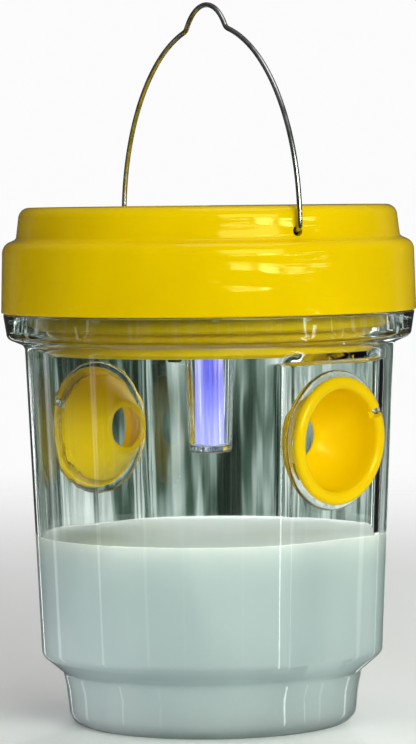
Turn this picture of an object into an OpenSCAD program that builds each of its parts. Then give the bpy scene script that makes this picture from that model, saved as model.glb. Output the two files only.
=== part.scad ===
// Hanging wasp trap: a clear jar with two entry funnels, and a lid that holds a solar-charged violet lamp.
// Millimetres, +Z up, origin at the centre of the jar's flat base. The funnels face -Y and +Y.

/* [Jar] */
// Outer radius of the jar just under its shoulder
body_top_r = 57.9; // [57.4:0.1:58.2]
// Outer radius of the jar at the foot of its tapered wall
body_low_r = 53.9; // [53.4:0.1:54.4]
// Wall thickness of the jar
wall = 2.0; // [1.8:0.1:2.2]
// Radius of the neck that goes up inside the lid
neck_r = 60.8; // [60.4:0.1:61.0]
// Wall thickness of the neck
neck_wall = 1.6; // [1.4:0.1:1.7]
// Height of the liquid's surface above the base
liquid_top = 60; // [30:1:68]

/* [Entry funnels] */
// Height of the funnels' centres
funnel_z = 90.9; // [90:0.1:91]
// Distance from the jar's axis to the flat panels, at the funnels' height
panel_d = 53.1; // [52.9:0.1:53.3]
// Slope of the flat panels, in degrees
panel_tilt = 2.4; // [2.2:0.1:2.6]
// Outer radius of a funnel's rim
rim_r = 19.7; // [19.4:0.1:20.2]
// Radius of the small hole at a funnel's inner end
entry_r = 6.6; // [6.2:0.1:7]

/* [Lid] */
// Height of the lid's bottom edge
lid_low_z = 129.7; // [129.7:0.1:130]
// Height of the lid's top
lid_top_z = 162.7; // [162.5:0.1:163]
// Radius of the lid at its bottom edge
lid_r = 65.3; // [65.2:0.1:65.6]
// Radius of the lid's upper tier
tier_r = 59.6; // [59.4:0.1:59.8]
// Wall thickness of the lid
lid_wall = 2.0; // [1.8:0.1:2.0]
// Height of the underside of the lamp housing
tray_z = 116.6; // [116.6:0.1:117]
// Radius of the lamp housing that hangs into the jar
tray_r = 51.4; // [51:0.1:51.8]

/* [Bail] */
// Radius of the steel wire
wire_r = 0.8; // [0.7:0.05:0.85]
// Distance from the jar's axis to the wire's upright legs
bail_r = 61.6; // [61.4:0.1:61.8]
// Height of the pins that the bail swings on
bail_z = 155.4; // [155.3:0.05:155.4]
// Height of the bail's top, at the middle of the wire
bail_top_z = 225.7; // [224:0.1:228]
// Turn of the bail's pins about the jar's axis, in degrees from +X
bail_turn = 71.6; // [71.6, 90, 135]

/* [Lamp and power] */
// Height of the lens tube's rounded end
lens_low_z = 85; // [84:0.5:90]
// Radius of the rechargeable cell
cell_r = 5.25; // [5.25]
// Length of the rechargeable cell without its nub
cell_length = 43.7; // [43.7]
// Side of the square solar panel's window
window_side = 60; // [54:1:62]

/* [Hidden] */
$fn = 96;

gap = 0.3; // between pieces that move past each other
eps = 0.01; // overshoot of a cutting shape

// Jar heights
foot_r = 41;
base_top_z = 16.3;
body_low_z = 24;
body_top_z = 115.7;
panel_top_z = 115;
collar_z = 129.4;
neck_top_z = 141;
floor_t = 2.2;

// Funnel, measured along the panel's outward normal from the panel's outer face
boss_r = 21.5;
boss_h = 1.2;
hole_r = 17.5;
rim_t = 3.0;
spigot_r = 17.3;
bowl_r = 15.4;
key_turn = 28;
funnel_depth = 15;

// Lid heights
lid_deck_z = lid_top_z - lid_wall; // underside of the lid's top
flange_z = 143; // underside of the tray's flange
flange_t = 2;
plug_r = 57.4;
plug_z = 124.5; // underside of the step between plug and housing
tray_t = 2;
tray_floor_z = tray_z + tray_t;
post_ring_r = 44.5;
post_top_z = 144;
well_top_z = 141;

// Solar panel pocket
pocket_z = lid_top_z - 2.0;
pad_t = 0.4;
cell_t = 0.5;
window_t = 1.0;
pocket_gap = 0.3;

// Lamp stack in the middle of the tray
lens_hole_r = 8.2;
lens_flange_z = tray_floor_z + 1.0;
lens_flange_t = 1.5;
holder_z = lens_flange_z + lens_flange_t;
holder_t = 2;
led_board_z = holder_z + holder_t;
led_board_t = 1.2;
ear_y = 15.5;

// Circuit board, lying over the -X half of the tray
board_z = 123.4;
board_t = 1.6;
board_low = [-39, -24];
board_size = [23, 48];
board_post_x = -34;
board_post_y = 19;
switch_xy = [-26, -10];
switch_travel = 2;

// Battery bay, over the +X half of the tray
bay_x = 28;
bay_half_w = 5.4;
bay_low_y = -31;
bay_high_y = 23;
bay_wall = 1.4;
bay_top_z = 128;
cell_z = 124.5;
door_half_w = 7.2;
door_half_l = 33.7;
door_t = 1.1;
door_screw_y = 29;

// ---------------------------------------------------------------- helpers

// Points along an arc about [x, y]
function arc(c, r, from, to, steps = 6) =
    [for (i = [0 : steps]) let (a = from + (to - from) * i / steps) [c[0] + r * cos(a), c[1] + r * sin(a)]];

function unit(v) = v / norm(v);

function between(a, b, t) = a + (b - a) * t;

// One point of a cubic Bezier curve
function bezier(a, b, c, d, t) =
    a * pow(1 - t, 3) + 3 * b * t * pow(1 - t, 2) + 3 * c * pow(t, 2) * (1 - t) + d * pow(t, 3);

function path_direction(path, i) = unit(path[min(i + 1, len(path) - 1)] - path[max(i - 1, 0)]);

// Rings of points about a path. reference never lies along the path.
function tube_points(path, r, reference, sides) =
    [for (i = [0 : len(path) - 1])
        let (along = path_direction(path, i))
        let (side = unit(cross(along, reference)))
        let (up = cross(along, side))
        for (k = [0 : sides - 1])
            path[i] + r * (cos(360 * k / sides) * side + sin(360 * k / sides) * up)];

function tube_faces(rings, sides) = concat(
    [[for (k = [0 : sides - 1]) k]],
    [for (i = [0 : rings - 2]) for (k = [0 : sides - 1])
        [i * sides + k, (i + 1) * sides + k, (i + 1) * sides + (k + 1) % sides, i * sides + (k + 1) % sides]],
    [[for (k = [sides - 1 : -1 : 0]) (rings - 1) * sides + k]]);

module tube(path, r, reference, sides = 8) {
    polyhedron(tube_points(path, r, reference, sides), tube_faces(len(path), sides), convexity = 6);
}

// An insulated lead from one pad to another, which leaves each along Z
module lead(from, from_rise, to, to_rise, r = 0.6, steps = 16) {
    up = [0, 0, 1];
    path = [for (i = [0 : steps]) bezier(from, from + from_rise * up, to + to_rise * up, to, i / steps)];
    tube(path, r, unit(cross(up, to - from)));
}

module ring(outer, inner, low, high) {
    difference() {
        translate([0, 0, low]) cylinder(r = outer, h = high - low);
        translate([0, 0, low - 1]) cylinder(r = inner, h = high - low + 2);
    }
}

module disc(r, low, high) {
    translate([0, 0, low]) cylinder(r = r, h = high - low);
}

module block(low, high) {
    translate(low) cube(high - low);
}

// A pan head below or above a shank. way is +1 where the shank points up, -1 where it points down.
module screw(seat_z, way, head_r, head_h, shank_r, shank_l) {
    translate([0, 0, seat_z]) mirror([0, 0, way > 0 ? 0 : 1]) {
        difference() {
            rotate_extrude()
                polygon(concat(
                    [[0, shank_l], [0, -head_h], [head_r * 0.6, -head_h]],
                    arc([head_r - 0.5, 0.6 - head_h], 0.5, -60, 0, 4),
                    [[head_r, 0], [shank_r, 0], [shank_r, shank_l - shank_r * 0.6], [shank_r * 0.4, shank_l]]));
            for (a = [0, 90])
                rotate([0, 0, a]) block([-head_r * 0.6, -0.25, -head_h - eps], [head_r * 0.6, 0.25, -head_h * 0.4]);
        }
    }
}

// Places children on a flat panel, with +Z along the panel's outward normal and the origin at the funnel's centre
module on_panel(side) {
    rotate([0, 0, side == "front" ? 0 : 180])
        translate([0, -panel_d, funnel_z])
            rotate([90 + panel_tilt, 0, 0])
                children();
}

// Everything outside a flat panel that lies `inset` within its outer face, up to a height
module beyond_panels(inset, top_z) {
    for (side = ["front", "back"])
        on_panel(side)
            translate([-45, -funnel_z + 2, -inset])
                cube([90, top_z - 2, 30]);
}

// Places children at each of the four tray posts
module at_posts() {
    for (a = [0 : 90 : 270])
        rotate([0, 0, a]) translate([post_ring_r, 0, 0]) children();
}

// ---------------------------------------------------------------- jar

// Outline of the jar's outside, from the middle of the base to the top of the neck
function jar_outside() = concat(
    [[0, 0]],
    arc([foot_r, 4.4], 4.4, -90, 0),
    [[46.2, 11.5], [47.3, base_top_z]],
    arc([body_low_r - 3, body_low_z - 0.6], 3, -62, 0),
    [[body_top_r, body_top_z]],
    arc([body_top_r + 2.4, body_top_z + 2.1], 2.3, 180, 112),
    arc([61.6, 123.2], 2.2, -65, 0),
    [[64.7, collar_z - 0.5]],
    arc([64.2, collar_z - 0.5], 0.5, 0, 90, 3),
    [[neck_r, collar_z], [neck_r, neck_top_z]]);

// Outline of the jar's inside, from the middle of the floor to the top of the neck
function jar_inside() = concat(
    [[0, floor_t]],
    arc([foot_r, 4.9], 2.7, -90, 0),
    [[44.3, 11.9], [45.4, base_top_z + 1.9]],
    arc([body_low_r - wall - 1.6, body_low_z], 1.6, -62, 0),
    [[body_top_r - wall, body_top_z]],
    arc([body_top_r + 2.4, body_top_z + 2.1], 2.3 + wall, 180, 120),
    [[neck_r - neck_wall, 124.4], [neck_r - neck_wall, neck_top_z]]);

// The jar's inner space up to a height, with flat sides behind the panels
module jar_space(top_z) {
    difference() {
        rotate_extrude()
            intersection() {
                polygon(concat(jar_inside(), [[neck_r - neck_wall, neck_top_z + 1], [0, neck_top_z + 1]]));
                square([80, top_z]);
            }
        beyond_panels(wall, panel_top_z + wall);
    }
}

module jar_bosses() {
    for (side = ["front", "back"])
        on_panel(side) {
            disc(boss_r, -wall, boss_h);
            jar_key();
        }
}

// The small lug that keeps a funnel from turning
module jar_key() {
    rotate([0, 0, key_turn]) block([hole_r + 0.2, -1.2, 0], [rim_r - 0.2, 1.2, boss_h + 2.3]);
}

module jar() {
    color([0.86, 0.92, 0.93, 0.35])
        union() {
            difference() {
                union() {
                    difference() {
                        rotate_extrude() polygon(concat(jar_outside(), [[0, neck_top_z]]));
                        beyond_panels(0, panel_top_z);
                    }
                    jar_bosses();
                }
                jar_space(neck_top_z + 1);
                for (side = ["front", "back"])
                    on_panel(side) disc(hole_r, -wall - 2, boss_h + 1);
            }
            jar_lugs();
        }
}

// Four lugs round the neck
module jar_lugs() {
    for (a = [45 : 90 : 315])
        rotate([0, 0, a - 10])
            rotate_extrude(angle = 20)
                polygon([[neck_r - 0.5, 134], [neck_r + 1.1, 134], [neck_r + 1.1, 135.4], [neck_r - 0.5, 136.6]]);
}

module bait_liquid() {
    color([0.72, 0.79, 0.79, 0.9])
        jar_space(liquid_top);
}

// ---------------------------------------------------------------- entry funnels

// Outline of a funnel, in radius and distance along its axis
function funnel_outline() = concat(
    [[spigot_r, boss_h]],
    [[rim_r - 0.6, boss_h]],
    arc([rim_r - 1.6, boss_h + rim_t - 1.6], 1.6, -20, 90),
    arc([rim_r - 2.2, boss_h + rim_t - 1.8], 1.8, 90, 180),
    bend([bowl_r, boss_h], [bowl_r - 0.6, -6.2], [entry_r + 0.4, -funnel_depth + 1.2]),
    [[entry_r, -funnel_depth + 0.7], [entry_r + 0.5, -funnel_depth]],
    [[entry_r + 1.5, -funnel_depth], [entry_r + 2.1, -funnel_depth + 0.5]],
    bend([entry_r + 2.3, -funnel_depth + 0.8], [spigot_r - 2.7, -7.2], [spigot_r, -2.6]));

// Points along a curve from a to c that sets out towards b
function bend(a, b, c, steps = 8) =
    [for (i = [0 : steps]) let (t = i / steps) a * (1 - t) ^ 2 + b * 2 * t * (1 - t) + c * t ^ 2];

module funnel(side) {
    color([0.9, 0.78, 0.02])
        on_panel(side)
            difference() {
                union() {
                    rotate_extrude() polygon(funnel_outline());
                    funnel_catches();
                }
                rotate([0, 0, key_turn]) {
                    block([hole_r - 0.1, -1.5, -0.1], [rim_r + 2, 1.5, boss_h + rim_t + 1]);
                    block([bowl_r - 0.6, -1.5, boss_h + 0.7], [rim_r + 2, 1.5, boss_h + rim_t + 1]);
                }
            }
}

// Three catches that snap in behind the panel
module funnel_catches() {
    for (a = [90, 210, 330])
        rotate([0, 0, a - 9])
            rotate_extrude(angle = 18)
                polygon([[16.6, -2.1], [18.3, -2.1], [17.2, -3.9], [16.2, -3.9]]);
}

module front_funnel() {
    funnel("front");
}

module back_funnel() {
    funnel("back");
}

// ---------------------------------------------------------------- lid

// Rubber ring between the neck and the lid
module seal_ring() {
    color([0.85, 0.86, 0.84])
        ring(neck_r + 0.5, neck_r - neck_wall - 0.5, neck_top_z + gap, flange_z - gap);
}

function lid_outside() = concat(
    [[0, lid_top_z]],
    arc([tier_r - 3.5, lid_top_z - 3.5], 3.5, 90, 0),
    arc([tier_r + 2.1, lid_top_z - 8.9], 1.4, 180, 262),
    arc([lid_r - 4.4, lid_top_z - 14.3], 3.9, 78, 0),
    [[lid_r, lid_low_z + 0.4], [lid_r - 0.4, lid_low_z]]);

function lid_inside() = [
    [lid_r - lid_wall, lid_low_z], [lid_r - lid_wall - 0.5, lid_top_z - 15.9],
    [lid_r - lid_wall - 2.6, lid_top_z - 12.4], [tier_r - 1.4, lid_top_z - 10.6],
    [tier_r - 1.9, lid_top_z - 3.6], [tier_r - 3.6, lid_deck_z], [0, lid_deck_z]
];

module lid_cover() {
    color([0.94, 0.83, 0.02])
        difference() {
            union() {
                rotate_extrude() polygon(concat(lid_outside(), lid_inside()));
                at_posts() disc(3.4, post_top_z, lid_deck_z + eps);
                pocket_floor();
                lid_lugs();
            }
            solar_pocket();
            translate([-8, 0, pocket_z - 4]) cylinder(r = 2.5, h = 8);
            at_posts() disc(1.15, post_top_z - 1, 153);
            rotate([0, 0, bail_turn])
                translate([0, 0, bail_z - 0.4]) rotate([0, 90, 0])
                    cylinder(r = 1.55, h = 2 * lid_r, center = true);
        }
}

// Thick pad under the solar pocket
module pocket_floor() {
    half = window_side / 2 + pocket_gap + 2;
    block([-half, -half, pocket_z - 2], [half, half, lid_deck_z + eps]);
}

module solar_pocket() {
    half = window_side / 2 + pocket_gap;
    block([-half, -half, pocket_z], [half, half, lid_top_z + 1]);
}

// Four ramps inside the lid's skirt
module lid_lugs() {
    for (a = [0 : 90 : 270])
        rotate([0, 0, a - 12])
            rotate_extrude(angle = 24)
                polygon([[lid_r - 1.6, 132], [lid_r - 3.0, 132], [lid_r - 3.0, 133.2], [lid_r - 1.6, 133.8]]);
}

// Outline of the inner tray: a flange under the lid, a plug in the neck and a cup for the lamp's parts
function tray_outline() = [
    [0, tray_z], [tray_r - 1.2, tray_z], [tray_r, tray_z + 1.2], [tray_r, plug_z], [plug_r - 0.8, plug_z],
    [plug_r, plug_z + 0.8], [plug_r, flange_z], [62, flange_z], [62, flange_z + flange_t],
    [plug_r - 1.8, flange_z + flange_t], [plug_r - 1.8, plug_z + tray_t], [tray_r - tray_t, plug_z + tray_t],
    [tray_r - tray_t, tray_floor_z], [0, tray_floor_z]
];

module inner_tray() {
    color([0.85, 0.72, 0.03])
        difference() {
            union() {
                rotate_extrude() polygon(tray_outline());
                at_posts() disc(4.2, tray_floor_z - eps, post_top_z);
                battery_bay();
                for (y = [-board_post_y, board_post_y])
                    translate([board_post_x, y, 0]) disc(2.8, tray_floor_z - eps, board_z);
                for (y = [-ear_y, ear_y])
                    translate([0, y, 0]) disc(3, tray_floor_z - eps, holder_z);
                translate([bay_x, door_screw_y, 0]) disc(3.2, tray_floor_z - eps, 126);
            }
            disc(lens_hole_r, tray_z - 1, tray_floor_z + 1);
            at_posts() disc(2.9, tray_z - 1, well_top_z);
            at_posts() disc(1.5, well_top_z - 1, post_top_z + 1);
            for (y = [-board_post_y, board_post_y])
                translate([board_post_x, y, 0]) disc(1.0, tray_floor_z + 0.2, board_z + 1);
            for (y = [-ear_y, ear_y])
                translate([0, y, 0]) disc(1.0, tray_z + 1, holder_z + 1);
            translate([bay_x, door_screw_y, 0]) disc(1.6, tray_z - 1, 125);
            door_opening();
            switch_slot();
        }
}

module battery_bay() {
    out = bay_half_w + bay_wall;
    difference() {
        block([bay_x - out, bay_low_y - bay_wall, tray_floor_z - eps], [bay_x + out, bay_high_y + bay_wall, bay_top_z]);
        block([bay_x - bay_half_w, bay_low_y, tray_floor_z - 1], [bay_x + bay_half_w, bay_high_y, bay_top_z + 1]);
    }
}

module door_opening() {
    half_w = door_half_w + gap;
    half_l = door_half_l + gap;
    block([bay_x - half_w, -half_l, tray_z - 1], [bay_x + half_w, half_l, tray_z + door_t + gap]);
    block([bay_x - bay_half_w, bay_low_y, tray_z], [bay_x + bay_half_w, bay_high_y, tray_floor_z + 0.5]);
}

module switch_slot() {
    translate([switch_xy[0], switch_xy[1], 0]) block([-1.5, -3.4, tray_z - 1], [1.5, 3.4, tray_floor_z + 1]);
}

module tray_screws() {
    color("silver")
        at_posts() screw(well_top_z, 1, 2.5, 2, 1.1, 11);
}

// ---------------------------------------------------------------- bail

// The bail in its own plane: X across, Z up
hump_x = 15.4; // half the width of the hump at the top
hump_fillet = 4; // radius of the bend where the hump leaves the main bow
bow_z = 158; // centre of the main bow
pin_bend = 2; // radius of the bend from leg to pin
hook_bend = 1.6; // radius of the bend behind the lid's wall
pin_in_x = 56; // where the pin turns up behind the lid's wall

hump_side = asin(hump_x / bail_r);
fillet_at = [(bail_r + hump_fillet) * sin(hump_side), bow_z + (bail_r + hump_fillet) * cos(hump_side)];
// The top arc touches both fillets and the bail's top
hump_z = (pow(bail_top_z + hump_fillet, 2) - pow(fillet_at[1], 2) - pow(fillet_at[0], 2))
    / (2 * (bail_top_z + hump_fillet - fillet_at[1]));
hump_r = bail_top_z - hump_z;
hump_turn = atan2(fillet_at[1] - hump_z, fillet_at[0]);

function tail(list) = [for (i = [1 : len(list) - 1]) list[i]];

function mirrored(path) = [for (i = [len(path) - 1 : -1 : 0]) [-path[i][0], path[i][1]]];

// Middle of the wire from behind the lid's wall, out through the hole and up to the top
half_path = concat(
    [[pin_in_x - hook_bend, bail_z + hook_bend + 1]],
    arc([pin_in_x, bail_z + hook_bend], hook_bend, 180, 270, 5),
    arc([bail_r - pin_bend, bail_z + pin_bend], pin_bend, -90, 0, 5),
    arc([0, bow_z], bail_r, 0, 90 - hump_side, 26),
    tail(arc(fillet_at, hump_fillet, 270 - hump_side, 180 + hump_turn, 4)),
    tail(arc([0, hump_z], hump_r, hump_turn, 90, 6)));

module bail_pin() {
    translate([pin_in_x, 0, bail_z]) rotate([0, 90, 0])
        cylinder(r = wire_r, h = bail_r - pin_bend - pin_in_x);
}

module bail() {
    color([0.72, 0.73, 0.72])
        rotate([0, 0, bail_turn]) {
            tube([for (p = concat(half_path, tail(mirrored(half_path)))) [p[0], 0, p[1]]], wire_r, [0, 1, 0], 12);
            bail_pin();
            mirror([1, 0, 0]) bail_pin();
        }
}

// ---------------------------------------------------------------- solar panel

module solar_window() {
    half = window_side / 2;
    low = pocket_z + pad_t + cell_t;
    color([0.75, 0.8, 0.85, 0.4])
        block([-half, -half, low], [half, half, low + window_t]);
}

module solar_cell() {
    half = window_side / 2 - 1;
    low = pocket_z + pad_t;
    color([0.06, 0.08, 0.2])
        block([-half, -half, low], [half, half, low + cell_t]);
}

module solar_pad() {
    half = window_side / 2 - 4;
    color([0.15, 0.15, 0.15])
        difference() {
            block([-half, -half, pocket_z], [half, half, pocket_z + pad_t]);
            translate([-8, 0, 0]) disc(2.6, pocket_z - 1, pocket_z + 1);
        }
}

module solar_lead_red() {
    color("red") lead([-8.9, 0, pocket_z + pad_t], -20, [-19, 5, board_z + board_t], 15);
}

module solar_lead_black() {
    color([0.1, 0.1, 0.1]) lead([-7.1, 0, pocket_z + pad_t], -20, [-19, -5, board_z + board_t], 15);
}

// ---------------------------------------------------------------- lamp

function lens_outline() = concat(
    [[0, lens_low_z]],
    arc([5.0, lens_low_z + 1.8], 1.8, -90, 0),
    [[7.85, lens_flange_z], [10.4, lens_flange_z], [10.4, holder_z], [6.4, holder_z]],
    [[5.2, lens_low_z + 3.2]],
    arc([4.0, lens_low_z + 3.2], 1.2, 0, -90, 4),
    [[0, lens_low_z + 2]]);

module lens_tube() {
    color([0.8, 0.85, 0.95, 0.4])
        rotate_extrude() polygon(lens_outline());
}

module lens_seal() {
    color([0.9, 0.9, 0.88])
        ring(10.3, 8.3, tray_floor_z, lens_flange_z);
}

guide_low_z = lens_low_z + 2.4;
guide_r = 4.6;
guide_neck_z = 117.6;

// Clear rod with flutes that spreads the lamp's light down the tube
module light_guide() {
    color([0.45, 0.45, 1.0, 0.7])
        difference() {
            union() {
                disc(guide_r, guide_low_z, guide_neck_z + 1);
                disc(6.1, guide_neck_z, holder_z - 0.1);
            }
            disc(2.7, 114.2, holder_z + 1);
            for (a = [0 : 45 : 315])
                rotate([0, 0, a]) translate([guide_r + 0.35, 0, 0]) disc(0.9, guide_low_z - 1, 112);
        }
}

module uv_led() {
    color([0.75, 0.7, 0.95])
        rotate_extrude()
            polygon(concat(
                [[0, led_board_z], [0, 114.6]],
                arc([0, 117.0], 2.4, -90, 0),
                [[2.5, led_board_z - 1.2], [2.5, led_board_z]]));
}

module led_board() {
    color([0.1, 0.35, 0.15])
        disc(9.5, led_board_z, led_board_z + led_board_t);
}

module led_holder() {
    color([0.92, 0.92, 0.9])
        difference() {
            union() {
                disc(12, holder_z, led_board_z);
                for (y = [-ear_y, ear_y])
                    translate([0, y, 0]) disc(3, holder_z, led_board_z);
                for (side = [-1, 1])
                    block([-2.5, side > 0 ? 10 : -ear_y, holder_z], [2.5, side > 0 ? ear_y : -10, led_board_z]);
            }
            disc(2.8, holder_z - 1, led_board_z + 1);
            for (y = [-ear_y, ear_y])
                translate([0, y, 0]) disc(1.3, holder_z - 1, led_board_z + 1);
        }
}

module holder_screws() {
    color("silver")
        for (y = [-ear_y, ear_y])
            translate([0, y, 0]) screw(led_board_z, -1, 2.1, 1.5, 0.95, 5);
}

module led_leads() {
    color([0.85, 0.85, 0.85]) {
        lead([-4, 3, led_board_z + led_board_t], 7, [-18, 12, board_z + board_t], 7);
        lead([-4, -3, led_board_z + led_board_t], 7, [-18, -12, board_z + board_t], 7);
    }
}

// ---------------------------------------------------------------- circuit board

module circuit_board() {
    color([0.08, 0.38, 0.16])
        difference() {
            block([board_low[0], board_low[1], board_z],
                [board_low[0] + board_size[0], board_low[1] + board_size[1], board_z + board_t]);
            for (y = [-board_post_y, board_post_y])
                translate([board_post_x, y, 0]) disc(1.3, board_z - 1, board_z + board_t + 1);
        }
}

module board_parts() {
    top = board_z + board_t;
    color([0.12, 0.12, 0.13]) {
        block([-33, 0, top], [-25, 6, top + 1.6]);
        translate([-31, -9, 0]) disc(3.4, top, top + 4.6);
        translate([-30, 11, 0]) disc(2.5, top, top + 7);
        block([-24.5, 9, top], [-21.5, 10.6, top + 0.7]);
        block([-24.5, 13, top], [-21.5, 14.6, top + 0.7]);
    }
}

module board_screws() {
    color("silver")
        for (y = [-board_post_y, board_post_y])
            translate([board_post_x, y, 0]) screw(board_z + board_t, -1, 2.1, 1.5, 0.95, 5.4);
}

module switch_body() {
    color([0.75, 0.76, 0.78])
        translate([switch_xy[0], switch_xy[1], 0])
            difference() {
                block([-2.4, -4.8, tray_floor_z + 0.4], [2.4, 4.8, board_z]);
                block([-1.5, -3.4, tray_floor_z], [1.5, 3.4, tray_floor_z + 2.6]);
            }
}

// The knob rests at the -Y end of its slot, which is "on"
module switch_knob() {
    color([0.1, 0.1, 0.1])
        translate([switch_xy[0], switch_xy[1] - switch_travel / 2, 0]) {
            block([-1.1, -2, tray_z - 1.4], [1.1, 2, tray_floor_z + 2.2]);
            for (y = [-1.4, 0, 1.4])
                block([-1.1, y - 0.3, tray_z - 1.8], [1.1, y + 0.3, tray_z - 1.4 + eps]);
        }
}

// ---------------------------------------------------------------- battery

nub_h = 0.8;
contact_t = 0.7;
cell_high_y = bay_high_y - contact_t;
cell_low_y = cell_high_y - nub_h - cell_length;

module battery() {
    color([0.3, 0.62, 0.3])
        translate([bay_x, cell_low_y, cell_z]) rotate([-90, 0, 0])
            rotate_extrude()
                polygon(concat(
                    [[0, 0]],
                    arc([cell_r - 0.6, 0.6], 0.6, -90, 0, 4),
                    arc([cell_r - 0.6, cell_length - 0.6], 0.6, 0, 90, 4),
                    [[1.9, cell_length], [1.9, cell_length + nub_h], [0, cell_length + nub_h]]));
}

spring_turns = 4;
spring_wire_r = 0.35;
spring_steps = 56;

// Cone-shaped coil that presses the cell forward, on its plate
module battery_spring() {
    plate_y = bay_low_y + contact_t;
    length = cell_low_y - plate_y - spring_wire_r - 0.05;
    path = [for (i = [0 : spring_steps])
        let (t = i / spring_steps)
        let (r = between(4.2, 2.4, t))
        [bay_x + r * cos(360 * spring_turns * t), plate_y + length * t,
            cell_z + r * sin(360 * spring_turns * t)]];
    color("silver")
        union() {
            block([bay_x - 4.8, bay_low_y, 119.6], [bay_x + 4.8, plate_y, 130]);
            tube(path, spring_wire_r, [0, 1, 0]);
        }
}

module battery_contact() {
    color("silver")
        block([bay_x - 4.8, cell_high_y, 119.6], [bay_x + 4.8, bay_high_y, 130]);
}

module battery_lead_red() {
    color("red")
        lead([bay_x - 3, bay_high_y - contact_t / 2, 130], 8, [-18, 20, board_z + board_t], 12);
}

module battery_lead_black() {
    color([0.1, 0.1, 0.1])
        lead([bay_x - 3, bay_low_y + contact_t / 2, 130], 8, [-18, -20, board_z + board_t], 12);
}

module battery_door() {
    color([0.85, 0.72, 0.03])
        difference() {
            union() {
                block([bay_x - door_half_w, -door_half_l, tray_z],
                    [bay_x + door_half_w, door_half_l, tray_z + door_t]);
                block([bay_x - bay_half_w + gap, bay_low_y + gap, tray_z + door_t - eps],
                    [bay_x + bay_half_w - gap, bay_high_y - gap, tray_floor_z + 0.3]);
            }
            translate([bay_x, door_screw_y, 0]) disc(1.35, tray_z - 1, tray_z + 3);
            for (i = [0 : 4])
                translate([bay_x, -29 + 2.2 * i, 0]) block([-4, -0.5, tray_z - 1], [4, 0.5, tray_z + 0.5]);
        }
}

module door_screw() {
    color("silver")
        translate([bay_x, door_screw_y, 0]) screw(tray_z, 1, 2.4, 1.5, 1.3, 7);
}

// ---------------------------------------------------------------- all nodes

jar();
front_funnel();
back_funnel();
bait_liquid();
seal_ring();
lid_cover();
inner_tray();
tray_screws();
bail();
solar_window();
solar_cell();
solar_pad();
solar_lead_red();
solar_lead_black();
lens_tube();
lens_seal();
light_guide();
uv_led();
led_board();
led_holder();
holder_screws();
led_leads();
circuit_board();
board_parts();
board_screws();
switch_body();
switch_knob();
battery();
battery_spring();
battery_contact();
battery_lead_red();
battery_lead_black();
battery_door();
door_screw();
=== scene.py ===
"""Looks of the hanging wasp trap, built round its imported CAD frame.

Shapes are worked out in millimetres in the part's own frame: +Z up, the origin at the centre of the base, the
entry funnels facing -Y and +Y. They become metres where a mesh is made.
"""

import math

import bmesh
import bpy
from mathutils import Matrix, Vector


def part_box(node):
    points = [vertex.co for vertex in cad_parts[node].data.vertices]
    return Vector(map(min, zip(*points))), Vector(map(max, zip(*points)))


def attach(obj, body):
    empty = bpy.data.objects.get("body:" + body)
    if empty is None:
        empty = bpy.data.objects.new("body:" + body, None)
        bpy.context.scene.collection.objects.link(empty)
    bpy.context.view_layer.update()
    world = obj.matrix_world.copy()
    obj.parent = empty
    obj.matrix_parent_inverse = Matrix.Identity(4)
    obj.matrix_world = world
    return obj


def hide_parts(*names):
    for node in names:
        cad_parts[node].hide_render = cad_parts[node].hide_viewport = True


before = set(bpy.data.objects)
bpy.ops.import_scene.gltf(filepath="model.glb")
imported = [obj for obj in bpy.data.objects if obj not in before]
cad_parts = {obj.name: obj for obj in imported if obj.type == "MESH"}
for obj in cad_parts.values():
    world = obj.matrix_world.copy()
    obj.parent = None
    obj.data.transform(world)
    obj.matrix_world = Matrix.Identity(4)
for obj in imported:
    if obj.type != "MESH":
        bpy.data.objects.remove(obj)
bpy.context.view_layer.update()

MM = 0.001
SHARP = 38  # edges that turn by more than this many degrees stay sharp


def extent(node):
    """Lowest and highest corner of a CAD node, in millimetres."""
    low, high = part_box(node)
    return low / MM, high / MM


# ------------------------------------------------------------------ driving dimensions, in millimetres

LID_R = extent("lid_cover")[1].x
LID_LOW, LID_TOP = extent("lid_cover")[0].z, extent("lid_cover")[1].z
LID_WALL = 2.0
TIER_R = LID_R - 5.7

NECK_TOP = extent("jar")[1].z
NECK_R, NECK_WALL = 60.8, 1.6
COLLAR_R = extent("jar")[1].x
COLLAR_TOP = LID_LOW - 0.3
WALL = 2.0
BODY_TOP_R, BODY_TOP = 57.9, 115.7
BODY_LOW_R, BODY_LOW = 53.9, 24.0
FINE_FROM = 112.0  # above this the wall's points are closer together, for the step where the flat panels end
BASE_TOP = 16.3
FOOT_R = 41.0
FLOOR = 2.2
LIQUID_TOP = extent("bait_liquid")[1].z
LUG_LOW, LUG_SIDE_TOP, LUG_TOP = 134.0, 135.4, 136.6

PANEL_D, PANEL_TILT, PANEL_TOP = 53.1, math.radians(2.4), 115.0
PANEL_FADE = 1.4  # height over which a flat panel's top turns into the round wall
FUNNEL_Z = 90.9
BOSS_R, BOSS_H = 21.5, 1.2
HOLE_R, SPIGOT_R = 17.5, 17.3
RIM_R, RIM_T, BOWL_R = 19.7, 3.0, 15.4
FUNNEL_DEPTH, ENTRY_R = 15.0, 6.6
FUNNEL_SIDES = 144
KEY_TURN = math.radians(28)

WIRE_R, PIN_HOLE_R = 0.8, 1.55
BAIL_R, BOW_Z = 61.6, 158.0
BAIL_Z, PIN_HOLE_Z = 155.4, 155.0
BAIL_TOP = extent("bail")[1].z - WIRE_R
BAIL_TURN = math.radians(71.6)

LENS_LOW = extent("lens_tube")[0].z
LENS_TOP = extent("lens_tube")[1].z

POSTS_R = 44.5
POST_LOW, POST_HOLE_R, POST_HOLE_TOP = 144.0, 1.15, 153
RAMP_LOW, RAMP_INNER_TOP, RAMP_OUTER_TOP = 132, 133.2, 133.8
WINDOW_HALF = extent("solar_window")[1].x
POCKET_Z = LID_TOP - 2.0
LEAD_HOLE_R, LEAD_HOLE_X = 2.5, -8


# ------------------------------------------------------------------ mesh helpers

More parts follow.
